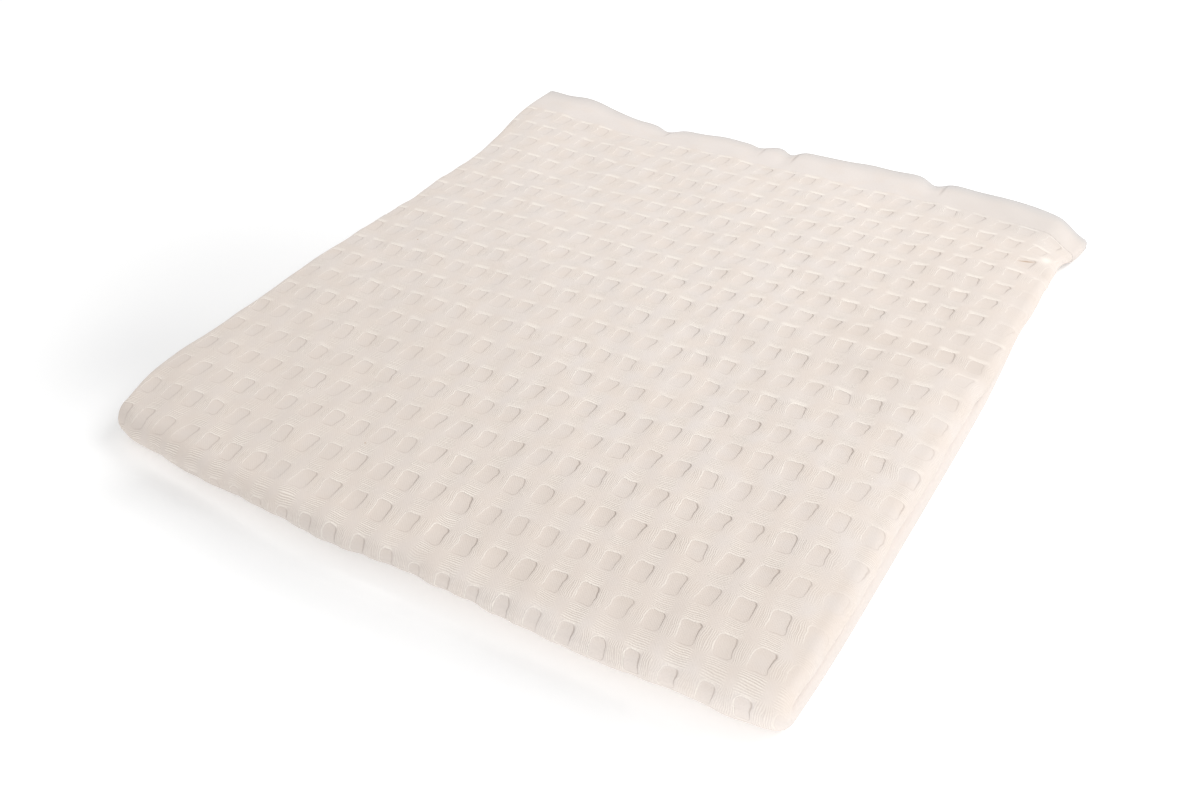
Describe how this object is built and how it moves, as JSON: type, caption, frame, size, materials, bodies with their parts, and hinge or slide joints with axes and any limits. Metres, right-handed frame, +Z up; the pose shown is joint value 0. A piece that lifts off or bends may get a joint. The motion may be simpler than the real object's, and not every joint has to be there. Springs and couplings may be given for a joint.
{
  "type": "baby blanket",
  "caption": "Honeycomb-woven cotton baby blanket, folded in three across and once in half into a flat rectangle that lies on a shelf.",
  "frame": {"origin": "middle of the folded blanket's footprint, on the surface it lies on", "axes": "+Z up; +Y from the front bend to the hemmed back edge; +X along the front bend, towards the side where the two smooth folds lie one on the other"},
  "size_m": [0.3394, 0.3814, 0.0285],
  "materials": {
    "cotton": "matte natural cotton"
  },
  "bodies": {
    "root": {"blanket": "cotton"}
  },
  "joints": []
}
